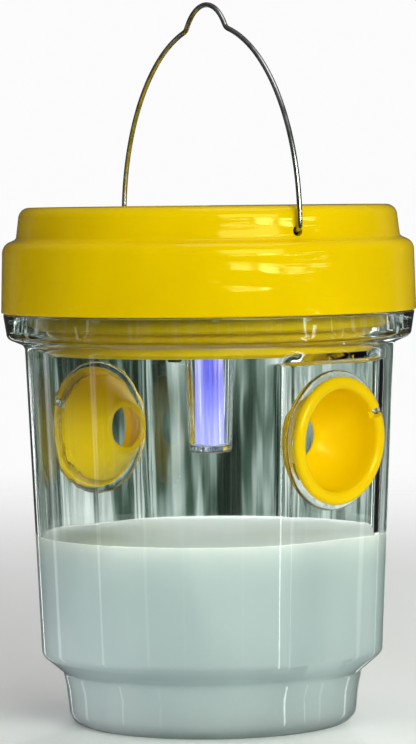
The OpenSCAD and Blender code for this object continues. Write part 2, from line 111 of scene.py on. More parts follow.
def arc(x, z, r, start, end, step=7.5):
    """Points along an arc about (x, z), from one angle to another, in degrees."""
    count = max(2, math.ceil(abs(end - start) / step))
    turns = [math.radians(start + (end - start) * i / count) for i in range(count + 1)]
    return [(x + r * math.cos(t), z + r * math.sin(t)) for t in turns]


def filled(outline, step):
    """The outline with points added, so that none is further than `step` from the next."""
    out = [outline[0]]
    for a, b in zip(outline, outline[1:]):
        count = max(1, math.ceil(math.dist(a, b) / step))
        for i in range(1, count + 1):
            out.append((a[0] + (b[0] - a[0]) * i / count, a[1] + (b[1] - a[1]) * i / count))
    return out


def even_angles(count):
    return [2 * math.pi * i / count for i in range(count)]


def make(name, verts, faces, matrix=None, sharp=SHARP):
    """A mesh object from points in millimetres, with outward normals and smooth shading up to an angle."""
    mesh = bpy.data.meshes.new(name)
    mesh.from_pydata([Vector(v) * MM for v in verts], [], faces)
    if matrix is not None:
        mesh.transform(matrix)
    obj = bpy.data.objects.new(name, mesh)
    bpy.context.scene.collection.objects.link(obj)
    shade(obj, sharp)
    return obj


def shade(obj, sharp=SHARP):
    bm = bmesh.new()
    bm.from_mesh(obj.data)
    bmesh.ops.recalc_face_normals(bm, faces=bm.faces)
    limit = math.radians(sharp)
    for face in bm.faces:
        face.smooth = True
    for edge in bm.edges:
        edge.smooth = len(edge.link_faces) == 2 and edge.calc_face_angle(0.0) < limit
    bm.to_mesh(obj.data)
    bm.free()


def revolve(name, outline, angles=None, radius=None, matrix=None, sharp=SHARP):
    """A closed solid of revolution. Points on the axis become poles, and an outline with none is a ring.
    radius(r, z, angle), where given, changes the radius of each point."""
    angles = angles or even_angles(180)
    verts, rings = [], []
    for r, z in outline:
        if r < 1e-6:
            rings.append([len(verts)])
            verts.append((0, 0, z))
            continue
        rings.append(list(range(len(verts), len(verts) + len(angles))))
        for a in angles:
            rr = radius(r, z, a) if radius else r
            verts.append((rr * math.cos(a), rr * math.sin(a), z))
    on_axis = len(rings[0]) == 1
    pairs = list(zip(rings, rings[1:] if on_axis else rings[1:] + rings[:1]))
    faces = []
    for low, high in pairs:
        for i in range(len(angles)):
            j = (i + 1) % len(angles)
            corners = [low[i % len(low)], low[j % len(low)], high[j % len(high)], high[i % len(high)]]
            corners = [c for k, c in enumerate(corners) if c not in corners[:k]]
            if len(corners) > 2:
                faces.append(corners)
    return make(name, verts, faces, matrix, sharp)


def tube(name, path, r, sides=20, sharp=SHARP):
    """A round tube with domed ends along a path of points in millimetres."""
    points = [Vector(p) for p in path]
    first, last = (points[0] - points[1]).normalized(), (points[-1] - points[-2]).normalized()
    dome = [(math.sin(math.radians(t)), math.cos(math.radians(t))) for t in (75, 50, 25)]
    line = [(points[0] + first * r * s, r * c) for s, c in dome] + [(p, r) for p in points]
    line += [(points[-1] + last * r * s, r * c) for s, c in reversed(dome)]
    verts, faces = [], []
    normal = first.orthogonal().normalized()
    for i, (p, width) in enumerate(line):
        along = (line[min(i + 1, len(line) - 1)][0] - line[max(i - 1, 0)][0]).normalized()
        normal = (normal - along * normal.dot(along)).normalized()
        side = along.cross(normal)
        for k in range(sides):
            t = 2 * math.pi * k / sides
            verts.append(p + (normal * math.cos(t) + side * math.sin(t)) * width)
    for i in range(len(line) - 1):
        for k in range(sides):
            m = (k + 1) % sides
            faces.append([i * sides + k, i * sides + m, (i + 1) * sides + m, (i + 1) * sides + k])
    faces.append(list(range(sides)))
    faces.append(list(range((len(line) - 1) * sides, len(line) * sides)))
    return make(name, verts, faces, sharp=sharp)


def rounded_box(name, low, high, r, matrix=None, segments=4):
    """A box with its edges rounded."""
    bm = bmesh.new()
    bmesh.ops.create_cube(bm, size=1)
    size = [b - a for a, b in zip(low, high)]
    centre = [(a + b) / 2 for a, b in zip(low, high)]
    for v in bm.verts:
        v.co = Vector([c + x * s for c, x, s in zip(centre, v.co, size)])
    bmesh.ops.bevel(bm, geom=bm.edges, offset=r, segments=segments, affect="EDGES", profile=0.5)
    verts = [v.co.copy() for v in bm.verts]
    faces = [[v.index for v in f.verts] for f in bm.faces]
    bm.free()
    return make(name, verts, faces, matrix)


def remove_slivers(mesh):
    """Joins points that a cut left on top of each other."""
    bm = bmesh.new()
    bm.from_mesh(mesh)
    bmesh.ops.remove_doubles(bm, verts=bm.verts, dist=0.0015 * MM)
    bmesh.ops.dissolve_degenerate(bm, edges=bm.edges, dist=0.001 * MM)
    bm.to_mesh(mesh)
    bm.free()


def combine(obj, other, operation, sharp=SHARP):
    """Cuts or joins `other` with obj, and removes it."""
    modifier = obj.modifiers.new("combine", "BOOLEAN")
    modifier.operation = operation
    modifier.solver = "MANIFOLD"
    modifier.object = other
    graph = bpy.context.evaluated_depsgraph_get()
    mesh = bpy.data.meshes.new_from_object(obj.evaluated_get(graph), depsgraph=graph)
    obj.modifiers.clear()
    remove_slivers(mesh)
    obj.data = mesh
    bpy.data.objects.remove(other)
    shade(obj, sharp)


def on_panel(side):
    """Frame of a flat panel: +Z along its outward normal, origin at the funnel's centre, in metres."""
    turn = Matrix.Rotation(0 if side == "front" else math.pi, 4, "Z")
    move = Matrix.Translation(Vector((0, -PANEL_D, FUNNEL_Z)) * MM)
    return turn @ move @ Matrix.Rotation(math.pi / 2 + PANEL_TILT, 4, "X")


def smooth_step(t):
    t = min(max(t, 0.0), 1.0)
    return t * t * (3 - 2 * t)


# ------------------------------------------------------------------ jar and liquid

def flat_side(r, z, angle, inset, top, rounding):
    """Radius of the jar's wall with its two flat panels, whose edges are rounded."""
    facing = abs(math.sin(angle))
    if facing < 0.8:
        return r
    plane = PANEL_D + (z - FUNNEL_Z) * math.tan(PANEL_TILT) - inset / math.cos(PANEL_TILT)
    limit = plane / facing
    blend = max(rounding - abs(r - limit), 0) / rounding
    flat = min(r, limit) - blend * blend * rounding / 4
    return r + (flat - r) * smooth_step((top + PANEL_FADE / 2 - z) / PANEL_FADE)


def jar_angles():
    """Angles round the jar, closer together at the edges of the flat panels."""
    steps = [2.0 * i for i in range(-45, -12)] + [-25 + 0.4 * i for i in range(1, 22)]
    steps += [-16 + 2.0 * i for i in range(17)] + [16 + 0.4 * i for i in range(1, 23)]
    steps += [25 + 2.0 * i for i in range(1, 33)]
    return [math.radians(middle + step) for middle in (90, 270) for step in steps]


def wall_points(low, high, step):
    """Points up the tapered wall after `low`, `step` apart and then close together."""
    share = (FINE_FROM - low[1]) / (high[1] - low[1])
    middle = (low[0] + (high[0] - low[0]) * share, FINE_FROM)
    return filled([low, middle], step)[1:] + filled([middle, high], 0.3)[1:]


def jar_outside():
    """Outline of the jar's outside from the foot to the neck's top."""
    outline = [(0, 0), (30, 0)] + arc(FOOT_R, 4.4, 4.4, -90, 0)
    outline += [(46.2, 11.5)]
    outline += arc(48.3, BASE_TOP - 0.5, 1.2, 185, 128, 12)
    outline += arc(BODY_LOW_R - 3, BODY_LOW - 0.6, 3, -58, 0)
    low, high = outline[-1], (BODY_TOP_R, BODY_TOP)
    outline += wall_points(low, high, 9)
    outline += arc(BODY_TOP_R + 2.4, BODY_TOP + 2.1, 2.3, 180, 112, 6)
    outline += arc(61.6, 123.2, 2.2, -65, 0, 6)
    outline += arc(COLLAR_R - 0.5, COLLAR_TOP - 0.5, 0.5, 0, 90, 15)
    outline += arc(NECK_R + 0.4, COLLAR_TOP + 0.4, 0.4, 270, 180, 22)
    outline += arc(NECK_R - 0.5, NECK_TOP - 0.5, 0.5, 0, 90, 22)
    return outline


def jar_inside(inset=0.0):
    """Outline of the jar's inside from floor to neck. inset draws it in, or out into the wall if negative."""
    outline = [(0, FLOOR + inset), (30, FLOOR + inset)] + arc(FOOT_R, 4.9, 2.7 - inset, -90, 0)
    outline += [(44.3 - inset, 11.9)] + arc(46.6 - inset, BASE_TOP + 1.2, 1.5, 188, 130, 12)
    outline += arc(BODY_LOW_R - WALL - 1.6, BODY_LOW, 1.6 - inset, -58, 0, 12)
    low, high = outline[-1], (BODY_TOP_R - WALL - inset, BODY_TOP)
    outline += wall_points(low, high, 6)
    outline += filled(arc(BODY_TOP_R + 2.4, BODY_TOP + 2.1, 2.3 + WALL, 180, 120, 6), 0.5)
    outline += [(NECK_R - NECK_WALL, 124.4)]
    outline += arc(NECK_R - NECK_WALL + 0.4, NECK_TOP - 0.4, 0.4, 180, 90, 30)
    return outline


def build_jar():
    """The whole jar: tapered wall with flat panels, collar, neck, funnel bosses, keys and lugs."""
    outside, inside = jar_outside(), jar_inside()
    outline = outside + inside[::-1]
    inner = set(inside)

    def radius(r, z, angle):
        if (r, z) in inner:
            return flat_side(r, z, angle, WALL, PANEL_TOP + WALL, 1.0)
        return flat_side(r, z, angle, 0, PANEL_TOP, 2.2)

    jar = revolve("jar_shell", outline, jar_angles(), radius)
    for side in ("front", "back"):
        place = on_panel(side)
        boss = [(0, -1.7), (BOSS_R, -1.7)] + arc(BOSS_R - 0.6, BOSS_H - 0.6, 0.6, 0, 90, 18) + [(0, BOSS_H)]
        combine(jar, revolve("boss", boss, even_angles(FUNNEL_SIDES), matrix=place), "UNION")
        turned = place @ Matrix.Rotation(KEY_TURN, 4, "Z")
        key = rounded_box("key", (HOLE_R + 0.2, -1.2, -0.5), (RIM_R - 0.2, 1.2, BOSS_H + 2.2), 0.4, turned)
        combine(jar, key, "UNION")
        hole = [(0, -WALL - 3), (HOLE_R, -WALL - 3), (HOLE_R, BOSS_H + 0.6), (0, BOSS_H + 0.6)]
        combine(jar, revolve("hole", hole, even_angles(FUNNEL_SIDES), matrix=place), "DIFFERENCE")
    for quarter in range(4):
        lug = [(NECK_R - 0.5, LUG_LOW), (NECK_R + 1.1, LUG_LOW)]
        lug += [(NECK_R + 1.1, LUG_SIDE_TOP), (NECK_R - 0.5, LUG_TOP)]
        combine(jar, sector("lug", lug, 45 + 90 * quarter, 20), "UNION")
    return jar


def sector(name, outline, middle, width, steps=12):
    """A ring's outline swept through part of a turn, in degrees."""
    count = len(outline)
    verts, faces = [], []
    for i in range(steps + 1):
        a = math.radians(middle - width / 2 + width * i / steps)
        verts += [(r * math.cos(a), r * math.sin(a), z) for r, z in outline]
    for i in range(steps):
        for k in range(count):
            m = (k + 1) % count
            faces.append([i * count + k, i * count + m, (i + 1) * count + m, (i + 1) * count + k])
    faces += [list(range(count)), list(range(steps * count, (steps + 1) * count))]
    return make(name, verts, faces)


# The liquid's surface curves up at the wall: how far each point is from the wall, and how far below the top
LIQUID_EDGE = [(0, 0.01), (0.35, 0.03), (0.7, 0.12), (1.2, 0.21), (2.0, 0.27), (3.5, 0.3)]


def build_liquid():
    """The bait liquid. It reaches a little into the wall, so that no air shows between the two."""
    inset = -0.3
    flat = LIQUID_TOP - LIQUID_EDGE[-1][1]
    wall = [p for p in jar_inside(inset) if p[1] < flat]
    widening = (BODY_TOP_R - BODY_LOW_R) * (LIQUID_TOP - BODY_LOW) / (BODY_TOP - BODY_LOW)
    edge_r = BODY_LOW_R - WALL - inset + widening
    edge = [(edge_r - inward, LIQUID_TOP - down) for inward, down in LIQUID_EDGE]

    def radius(r, z, angle):
        return flat_side(r, z, angle, WALL + inset, PANEL_TOP, 1.0)

    return revolve("bait_pool", wall + edge + [(30, flat), (0, flat)], jar_angles(), radius)


# ------------------------------------------------------------------ entry funnels

def bend(a, b, c, steps=14):
    """Points along a curve from a to c that sets out towards b."""
    points = []
    for i in range(steps + 1):
        t = i / steps
        start, pull, end = (1 - t) ** 2, 2 * t * (1 - t), t ** 2
        points.append(tuple(p * start + q * pull + r * end for p, q, r in zip(a, b, c)))
    return points


def funnel_outline():
    out = [(SPIGOT_R, BOSS_H)] + arc(RIM_R - 0.7, BOSS_H + 0.5, 0.5, -90, -20, 14)
    out += arc(RIM_R - 1.6, BOSS_H + RIM_T - 1.6, 1.6, -20, 90, 11)
    out += arc(RIM_R - 2.2, BOSS_H + RIM_T - 1.8, 1.8, 90, 172, 11)
    out += bend((BOWL_R, BOSS_H), (BOWL_R - 0.6, -6.2), (ENTRY_R + 0.3, 1.4 - FUNNEL_DEPTH))
    out += arc(ENTRY_R + 0.8, 0.8 - FUNNEL_DEPTH, 0.8, 175, 270, 16)
    out += arc(ENTRY_R + 1.4, 0.8 - FUNNEL_DEPTH, 0.8, 270, 340, 16)
    out += bend((ENTRY_R + 2.4, 1.2 - FUNNEL_DEPTH), (SPIGOT_R - 2.7, -7.2), (SPIGOT_R, -2.6))
    return out


def build_funnel(side):
    place = on_panel(side)
    funnel = revolve(side + "_entry_funnel", funnel_outline(), even_angles(FUNNEL_SIDES), matrix=place)
    catch = [(16.4, -2.15), (18.2, -2.15), (17.2, -3.8), (16.2, -3.8)]
    for turn in (90, 210, 330):
        piece = sector("catch", catch, turn, 18)
        piece.data.transform(place)
        combine(funnel, piece, "UNION")
    turned = place @ Matrix.Rotation(KEY_TURN, 4, "Z")
    for low in ((HOLE_R - 0.1, -1.5, -0.1), (BOWL_R - 0.6, -1.5, BOSS_H + 0.7)):
        combine(funnel, rounded_box("notch", low, (RIM_R + 2, 1.5, BOSS_H + 5), 0.2, turned, 2), "DIFFERENCE")
    return funnel


# ------------------------------------------------------------------ lid and bail

def lid_outline():
    out = [(0, LID_TOP), (20, LID_TOP), (40, LID_TOP)]
    out += arc(TIER_R - 3.5, LID_TOP - 3.5, 3.5, 90, 2, 6)
    out += arc(TIER_R + 2.1, LID_TOP - 8.9, 1.4, 180, 262, 8)
    out += arc(LID_R - 4.4, LID_TOP - 14.3, 3.9, 78, 4, 6)
    out += arc(LID_R - 0.4, LID_LOW + 0.4, 0.4, 0, -90, 22)
    inner_r = LID_R - LID_WALL
    out += arc(inner_r + 0.3, LID_LOW + 0.3, 0.3, -90, -180, 30)
    out += [(inner_r - 0.5, LID_TOP - 15.9), (inner_r - 2.6, LID_TOP - 12.4), (TIER_R - 1.4, LID_TOP - 10.6)]
    out += [(TIER_R - 1.9, LID_TOP - 3.6), (TIER_R - 3.6, LID_TOP - LID_WALL), (0, LID_TOP - LID_WALL)]
    return out


def build_lid():
    lid = revolve("lid_shell", filled(lid_outline(), 6), even_angles(240))
    half = WINDOW_HALF + 0.3
    pad = rounded_box("pad", (-half - 2, -half - 2, POCKET_Z - 2), (half + 2, half + 2, POCKET_Z + 1), 1.0)
    combine(lid, pad, "UNION")
    pocket = rounded_box("pocket", (-half, -half, POCKET_Z), (half, half, LID_TOP + 9), 0.8)
    combine(lid, pocket, "DIFFERENCE")
    place = Matrix.Translation((LEAD_HOLE_X * MM, 0, 0))
    combine(lid, round_cutter(LEAD_HOLE_R, POCKET_Z - 4, POCKET_Z + 4, place), "DIFFERENCE")
    for side in (0, math.pi):
        turn = Matrix.Rotation(BAIL_TURN + side, 4, "Z")
        height = Matrix.Translation((0, 0, PIN_HOLE_Z * MM))
        place = turn @ height @ Matrix.Rotation(math.pi / 2, 4, "Y")
        combine(lid, round_cutter(PIN_HOLE_R, 50, 70, place), "DIFFERENCE")
    for quarter in range(4):
        turn = Matrix.Rotation(quarter * math.pi / 2, 4, "Z")
        outline = [(0, POST_LOW), (3.4, POST_LOW), (3.4, LID_TOP - 1), (0, LID_TOP - 1)]
        post = revolve("post", outline, even_angles(36))
        post.data.transform(turn @ Matrix.Translation((POSTS_R * MM, 0, 0)))
        combine(lid, post, "UNION")
        place = turn @ Matrix.Translation((POSTS_R * MM, 0, 0))
        combine(lid, round_cutter(POST_HOLE_R, POST_LOW - 1, POST_HOLE_TOP, place), "DIFFERENCE")
        ramp = [(LID_R - 1.2, RAMP_LOW), (LID_R - 3.0, RAMP_LOW)]
        ramp += [(LID_R - 3.0, RAMP_INNER_TOP), (LID_R - 1.2, RAMP_OUTER_TOP)]
        combine(lid, sector("ramp", ramp, 90 * quarter, 24), "UNION")
    return lid


def round_cutter(r, low, high, matrix):
    return revolve("cutter", [(0, low), (r, low), (r, high), (0, high)], even_angles(40), matrix=matrix)


def bail_path():
    """Middle of the wire, from behind the lid's wall on one side, over the hump and back."""
    hump_half, fillet, pin_bend, hook, pin_in = 15.4, 4.0, 2.0, 1.6, 56.0
    side = math.asin(hump_half / BAIL_R)
    fx, fz = (BAIL_R + fillet) * math.sin(side), BOW_Z + (BAIL_R + fillet) * math.cos(side)
    hump_z = ((BAIL_TOP + fillet) ** 2 - fz ** 2 - fx ** 2) / (2 * (BAIL_TOP + fillet - fz))
    turn, side = math.degrees(math.atan2(fz - hump_z, fx)), math.degrees(side)
    half = [(pin_in - hook, BAIL_Z + hook + 1)] + arc(pin_in, BAIL_Z + hook, hook, 180, 270, 12)
    half += arc(BAIL_R - pin_bend, BAIL_Z + pin_bend, pin_bend, -90, 0, 9)
    half += arc(0, BOW_Z, BAIL_R, 0, 90 - side, 2)
    half += arc(fx, fz, fillet, 270 - side, 180 + turn, 8)[1:]
    half += arc(0, hump_z, BAIL_TOP - hump_z, turn, 90, 4)[1:]
    path = half + [(-x, z) for x, z in reversed(half[:-1])]
    across = Vector((math.cos(BAIL_TURN), math.sin(BAIL_TURN), 0))
    return [across * x + Vector((0, 0, z)) for x, z in path]


# ------------------------------------------------------------------ lamp and solar panel

def build_lens():
    outline = [(0, LENS_LOW), (2, LENS_LOW)] + arc(5.0, LENS_LOW + 1.8, 1.8, -90, 0, 9)
    outline += [(7.85, LENS_TOP - 1.5), (10.4, LENS_TOP - 1.5), (10.4, LENS_TOP), (6.4, LENS_TOP)]
    outline += arc(4.0, LENS_LOW + 3.2, 1.2, 0, -90, 15) + [(0, LENS_LOW + 2)]
    return revolve("lamp_tube", filled(outline, 6), even_angles(96))


def build_guide():
    """Rod with eight flutes round it, inside the lamp tube."""
    low, neck, top = LENS_LOW + 2.4, 117.6, LENS_TOP - 0.1
    lamp_z = 114.2  # bottom of the hole at the top that takes the lamp

    def fluted(r, z, angle):
        if r < 4.0 or r > 5.0 or z > neck - 0.3:
            return r
        return r - 0.55 * max(0.0, math.cos(8 * angle)) ** 2

    outline = [(0, low)] + arc(4.0, low + 0.6, 0.6, -90, 0, 18)
    outline += filled([(4.6, low + 0.7), (4.6, neck - 0.5)], 4)
    outline += [(4.6, neck), (6.1, neck), (6.1, top), (2.7, top), (2.7, lamp_z), (0, lamp_z)]
    return revolve("light_rod", outline, even_angles(160), fluted)


# ------------------------------------------------------------------ materials

def srgb(r, g, b):
    """A display colour from 0 to 255 as a linear colour."""
    def linear(c):
        c /= 255
        return c / 12.92 if c <= 0.04045 else ((c + 0.055) / 1.055) ** 2.4
    return (linear(r), linear(g), linear(b), 1.0)


class Shader:
    """A node material. node() makes a node, setting or linking its inputs by name or number."""

    def __init__(self, name, **principled):
        self.material = bpy.data.materials.new(name)
        self.material.use_nodes = True
        self.tree = self.material.node_tree
        self.bsdf = self.tree.nodes["Principled BSDF"]
        self.output = self.tree.nodes["Material Output"]
        self.set(self.bsdf, principled)
        self.coords = self.node("ShaderNodeTexCoord").outputs["Object"]

    def node(self, kind, inputs=None, **attributes):
        made = self.tree.nodes.new(kind)
        for key, value in attributes.items():
            setattr(made, key, value)
        self.set(made, inputs or {})
        return made

    def set(self, node, inputs):
        for key, value in inputs.items():
            socket = node.inputs[key.replace("_", " ") if isinstance(key, str) else key]
            if isinstance(value, bpy.types.NodeSocket):
                self.tree.links.new(value, socket)
            else:
                socket.default_value = value

    def scaled(self, x, y, z):
        """Object coordinates in metres, multiplied."""
        made = self.node("ShaderNodeVectorMath", {0: self.coords, 1: (x, y, z)}, operation="MULTIPLY")
        return made.outputs[0]

    def noise(self, scale=1.0, detail=2.0, vector=None, roughness=0.5, distortion=0.0):
        inputs = {"Scale": scale, "Detail": detail, "Roughness": roughness, "Distortion": distortion}
        inputs["Vector"] = vector or self.coords
        return self.node("ShaderNodeTexNoise", inputs).outputs["Fac"]

    def ramp(self, factor, stops):
        made = self.node("ShaderNodeValToRGB", {"Fac": factor})
        elements = made.color_ramp.elements
        while len(elements) < len(stops):
            elements.new(0.5)
        for element, (at, colour) in zip(elements, stops):
            element.position = at
            element.color = colour if isinstance(colour, tuple) else (colour, colour, colour, 1)
        return made.outputs["Color"]

    def math(self, operation, a, b=0.0, c=0.0):
        return self.node("ShaderNodeMath", {0: a, 1: b, 2: c}, operation=operation).outputs[0]

    def mix(self, factor, a, b):
        made = self.node("ShaderNodeMix", data_type="RGBA")
        self.set(made, {0: factor, 6: a, 7: b})
        return made.outputs[2]

    def range(self, value, low, high):
        """Brings a value from 0..1 into a range."""
        return self.node("ShaderNodeMapRange", {"Value": value, "To_Min": low, "To_Max": high}).outputs[0]

    def bump(self, height, distance, strength=1.0, normal=None):
        inputs = {"Height": height, "Distance": distance, "Strength": strength}
        if normal:
            inputs["Normal"] = normal
        return self.node("ShaderNodeBump", inputs).outputs[0]

    def lets_lamps_through(self, tint):
        """Shadow rays pass through the glass, so that lamps light what is behind it."""
        rays = self.node("ShaderNodeLightPath").outputs["Is Shadow Ray"]
        clear = self.node("ShaderNodeBsdfTransparent", {"Color": tint}).outputs[0]
        mixed = self.node("ShaderNodeMixShader", {0: rays, 1: self.bsdf.outputs[0], 2: clear}).outputs[0]
        self.tree.links.new(mixed, self.output.inputs["Surface"])


def yellow_plastic(name, waves, wave_height, gloss, shine):
    """Yellow plastic with a skin that isn't quite flat, so that highlights break up. waves says how close its
    waves are along each axis, gloss is the range of its roughness and shine the level of its reflections."""
    s = Shader(name, IOR=1.5, Specular_IOR_Level=shine, Specular_Tint=(1.0, 0.9, 0.25, 1),
               Subsurface_Weight=0.1, Subsurface_Scale=0.004)
    s.bsdf.inputs["Subsurface Radius"].default_value = (1.0, 0.7, 0.1)
    cloud = s.noise(35, 3)
    colour = s.ramp(cloud, [(0.35, srgb(234, 195, 0)), (0.65, srgb(242, 203, 0))])
    rolling = s.noise(1, 2, s.scaled(*waves))
    low = s.bump(rolling, wave_height, 0.5)
    s.set(s.bsdf, {"Base_Color": colour, "Roughness": s.range(cloud, *gloss),
                   "Normal": s.bump(s.noise(2600, 2), 0.00002, 0.2, low)})
    return s.material


def clear_plastic(name="clear_plastic", tint=(0.97, 0.985, 0.98, 1), waves=0.00008):
    s = Shader(name, Base_Color=tint, IOR=1.5, Transmission_Weight=1.0)
    flow = s.noise(1, 2, s.scaled(150, 150, 14))
    smear = s.noise(90, 4, roughness=0.6)
    s.set(s.bsdf, {"Roughness": s.range(smear, 0.0, 0.04), "Normal": s.bump(flow, waves, 0.4)})
    s.lets_lamps_through((0.96, 0.98, 0.975, 1))
    return s.material


def bait():
    """Milky liquid, a little cloudy."""
    s = Shader("bait", Roughness=0.3, IOR=1.34, Specular_IOR_Level=0.1,
               Subsurface_Weight=1.0, Subsurface_Scale=0.05)
    s.bsdf.inputs["Subsurface Radius"].default_value = (1.0, 1.0, 1.0)
    cloud = s.noise(28, 3, s.scaled(1, 1, 0.5), distortion=0.4)
    colour = s.ramp(cloud, [(0.3, srgb(167, 179, 179)), (0.7, srgb(181, 192, 191))])
    s.set(s.bsdf, {"Base_Color": colour})
    return s.material


def bail_steel():
    s = Shader("bail_steel", Metallic=1.0)
    smear = s.noise(300, 3)
    drawn = s.noise(5000, 2)
    colour = s.ramp(smear, [(0.3, srgb(150, 150, 142)), (0.7, srgb(205, 207, 204))])
    s.set(s.bsdf, {"Base_Color": colour, "Roughness": s.range(smear, 0.16, 0.34),
                   "Normal": s.bump(drawn, 0.00001, 0.4)})
    return s.material


def glow():
    """Violet light in streaks along the rod."""
    s = Shader("violet_glow", Base_Color=(0.5, 0.5, 1.0, 1), Roughness=0.15, IOR=1.49,
               Transmission_Weight=0.0, Emission_Strength=1.0)
    x, y, z = s.node("ShaderNodeSeparateXYZ", {0: s.coords}).outputs
    turn = s.math("ARCTAN2", y, x)
    around = s.node("ShaderNodeCombineXYZ", {0: s.math("COSINE", turn), 1: s.math("SINE", turn),
                                             2: s.math("MULTIPLY", z, 7.0)}).outputs[0]
    streak = s.noise(3.4, 2, around)
    colour = s.ramp(streak, [(0.36, srgb(52, 54, 206)), (0.46, srgb(104, 102, 226)),
                             (0.57, srgb(150, 148, 238)), (0.68, srgb(240, 245, 255))])
    s.set(s.bsdf, {"Emission_Color": colour})
    return s.material


def plain(name, colour, roughness=0.5, grain=800, depth=0.00003, metallic=0.0, variation=0.12):
    """A moulded or machined finish: a colour that varies a little, with a fine grain."""
    s = Shader(name, Metallic=metallic)
    cloud = s.noise(grain / 8, 3)
    dark = tuple(c * (1 - variation) for c in colour[:3]) + (1,)
    light = tuple(min(1, c * (1 + variation)) for c in colour[:3]) + (1,)
    s.set(s.bsdf, {"Base_Color": s.ramp(cloud, [(0.3, dark), (0.7, light)]),
                   "Roughness": s.range(cloud, roughness * 0.8, min(1, roughness * 1.2)),
                   "Normal": s.bump(s.noise(grain, 2), depth, 0.4)})
    return s.material


def solar_cells():
    """Dark blue cells with thin silver fingers and wider bars across them."""
    s = Shader("solar_cells", Roughness=0.3)
    x, y, _ = s.node("ShaderNodeSeparateXYZ", {0: s.coords}).outputs

    def lines(coordinate, pitch, width):
        place = s.math("FRACT", s.math("DIVIDE", s.math("ADD", coordinate, 1.0), pitch))
        return s.math("LESS_THAN", place, width / pitch)

    fingers = lines(x, 0.0016, 0.00018)
    bars = lines(y, 0.0145, 0.0009)
    silver = s.math("MAXIMUM", fingers, bars)
    cell = s.ramp(s.noise(240, 2), [(0.35, srgb(14, 18, 44)), (0.65, srgb(26, 34, 78))])
    s.set(s.bsdf, {"Base_Color": s.mix(silver, cell, srgb(150, 152, 156)), "Metallic": silver})
    return s.material


def circuit(name="circuit"):
    """Green solder mask over copper tracks."""
    s = Shader(name, Roughness=0.35)
    brick = s.node("ShaderNodeTexBrick", {"Vector": s.coords, "Scale": 260.0, "Mortar_Size": 0.06})
    tracks = brick.outputs["Fac"]
    s.set(s.bsdf, {"Base_Color": s.mix(tracks, srgb(12, 74, 34), srgb(30, 118, 56)),
                   "Normal": s.bump(tracks, 0.00003, 0.6)})
    return s.material


# ------------------------------------------------------------------ stage, lights and camera

CAMERA_TURN = math.radians(-45)  # from the front, about the part's axis
CAMERA_DISTANCE, CAMERA_Z, AIM_Z = 1.12, 0.166, 0.1103
LENS_MM, SENSOR_MM = 172, 36
CAMERA_ROLL, CAMERA_SHIFT = math.radians(0.65), -0.0019
TOWARD = Vector((math.sin(CAMERA_TURN), -math.cos(CAMERA_TURN), 0))
RIGHT = Vector((math.cos(CAMERA_TURN), math.sin(CAMERA_TURN), 0))


def aim(location, target):
    """A matrix that looks from one point to another with its top up."""
    back = (Vector(location) - Vector(target)).normalized()
    return Matrix.Translation(location) @ back.to_track_quat("Z", "Y").to_matrix().to_4x4()


def add_camera():
    data = bpy.data.cameras.new("camera")
    camera = bpy.data.objects.new("camera", data)
    bpy.context.scene.collection.objects.link(camera)
    data.lens, data.sensor_width = LENS_MM, SENSOR_MM
    data.clip_start, data.clip_end = 0.05, 30
    data.shift_x = CAMERA_SHIFT
    camera.matrix_world = aim(TOWARD * CAMERA_DISTANCE + Vector((0, 0, CAMERA_Z)), (0, 0, AIM_Z)) \
        @ Matrix.Rotation(-CAMERA_ROLL, 4, "Z")
    bpy.context.scene.camera = camera


def add_lamp(data, right, toward, up, target_z):
    """Places a lamp by how far it stands to the right of, towards and above the camera's side, in metres."""
    lamp = bpy.data.objects.new(data.name, data)
    bpy.context.scene.collection.objects.link(lamp)
    lamp.matrix_world = aim(RIGHT * right + TOWARD * toward + Vector((0, 0, up)), (0, 0, target_z))
    lamp.visible_camera = False
    return lamp


def add_area(name, right, toward, up, width, height, power, colour=(1, 1, 1)):
    """A soft lamp that faces the jar's upper half."""
    data = bpy.data.lights.new(name, "AREA")
    data.shape, data.size, data.size_y = "RECTANGLE", width, height
    data.energy, data.color = power, colour
    return add_lamp(data, right, toward, up, 0.1)


def add_beam(name, right, toward, up, power, target_z):
    """A narrow beam at the liquid, which leaves no highlight."""
    data = bpy.data.lights.new(name, "SPOT")
    data.energy, data.spot_size, data.spot_blend, data.shadow_soft_size = power, math.radians(7.5), 0.5, 0.05
    add_lamp(data, right, toward, up, target_z).visible_glossy = False


def add_lights():
    add_area("key", 0.51, 1.1, 0.62, 0.8, 0.6, 11, (0.93, 1.0, 0.88))
    add_area("top", 0.2, 0.0, 1.5, 0.8, 0.8, 4)
    add_area("back", 0.5, -1.3, 0.5, 0.7, 0.5, 6).visible_glossy = False
    add_beam("low_left", -0.95, 0.65, 0.05, 31, 0.02)
    add_beam("low_right", 0.8, 0.82, 0.05, 16, 0.02)
    add_beam("through", 0.12, -1.0, 0.46, 30, 0.06)  # from behind, under the lid, onto the liquid's surface


CARD_DISTANCE, CARD_FADE = 0.42, 0.012  # in metres
SURROUND_R, SURROUND_LOW, SURROUND_HIGH = 450, -150, 650
FLOOR_R, FLOOR_Z = 2500, -0.2
STAGE_SIDES = 96

